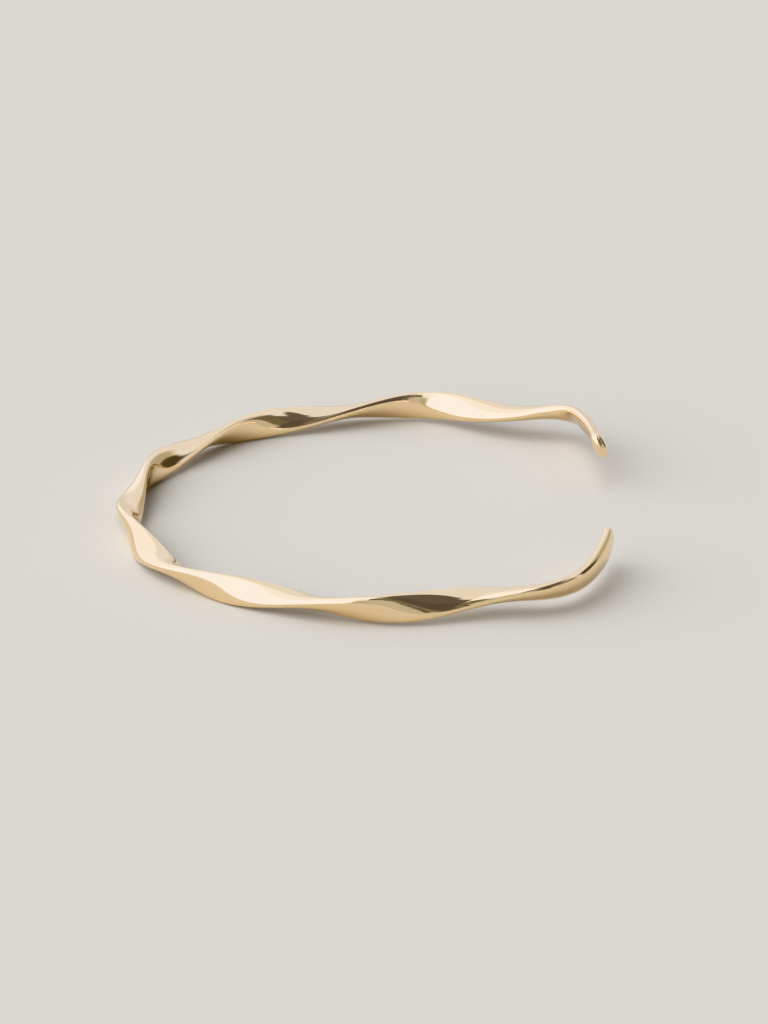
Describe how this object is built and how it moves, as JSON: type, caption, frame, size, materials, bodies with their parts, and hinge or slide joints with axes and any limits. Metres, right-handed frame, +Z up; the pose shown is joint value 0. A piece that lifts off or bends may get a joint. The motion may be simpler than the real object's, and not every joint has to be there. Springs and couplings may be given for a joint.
{
  "type": "torque bangle",
  "caption": "Open bangle bent from one flat oval gold bar that is twisted along its length, with plain rounded ends.",
  "frame": {"origin": "on the surface that the bangle lies on, below the centre of its outline seen from above", "axes": "+X towards the gap between the two ends, +Y across the hoop towards its raised back end, +Z up"},
  "size_m": [0.0554, 0.0598, 0.0066],
  "materials": {
    "polished_gold": "polished pale yellow gold"
  },
  "bodies": {
    "root": {"twisted_bangle": "polished_gold"}
  },
  "joints": []
}
